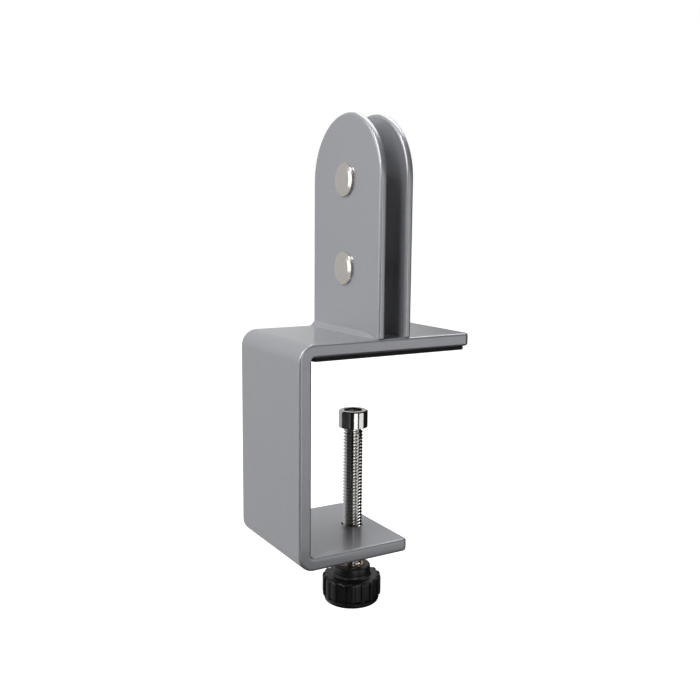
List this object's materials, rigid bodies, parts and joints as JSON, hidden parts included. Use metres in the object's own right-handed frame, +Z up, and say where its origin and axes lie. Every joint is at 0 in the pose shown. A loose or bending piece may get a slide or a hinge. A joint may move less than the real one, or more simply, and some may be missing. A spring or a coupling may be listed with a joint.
{
  "type": "desk panel clamp",
  "caption": "Desk-edge C clamp that holds an upright screen panel in a slot between two round-topped plates, tightened by a socket-head screw with a fluted knob.",
  "frame": {"origin": "where the clamp screw's axis meets the underside of the desk pad", "axes": "+X from the web towards the arm tips, +Y along the desk edge, +Z up along the clamp screw and the plates"},
  "size_m": [0.09, 0.06, 0.2318],
  "materials": {
    "silver_paint": "semi-gloss silver-grey paint",
    "pad_rubber": "matt black",
    "nickel_plate": "polished nickel",
    "screw_steel": "bright nickel-plated steel",
    "insert_brass": "turned",
    "black_plastic": "moulded black"
  },
  "bodies": {
    "bracket": {"clamp_strap": "silver_paint", "front_plate": "silver_paint", "rear_plate": "silver_paint", "front_weld_bead": "silver_paint", "rear_weld_bead": "silver_paint", "desk_pad": "pad_rubber", "upper_cap_nut": "nickel_plate", "lower_cap_nut": "nickel_plate", "upper_panel_bolt": "nickel_plate", "lower_panel_bolt": "nickel_plate"},
    "screw_travel": {"knob_insert": "insert_brass"},
    "screw_and_knob": {"clamp_screw": "screw_steel", "knob_body": "black_plastic", "knob_end_cap": "black_plastic"}
  },
  "joints": [
    {"name": "screw_lift", "type": "slide", "parent": "bracket", "child": "screw_travel", "axis": [0, 0, 1], "range_m": [-0.0479, 0.014]},
    {"name": "screw_turn", "type": "hinge", "parent": "screw_travel", "child": "screw_and_knob", "pos_m": [0, 0, -0.11], "axis": [0, 0, 1], "range_deg": [-10863, 3175]}
  ],
  "couplings": [
    {"joint": "screw_turn", "follows": "screw_lift", "rad_per_m": 3957.9}
  ]
}
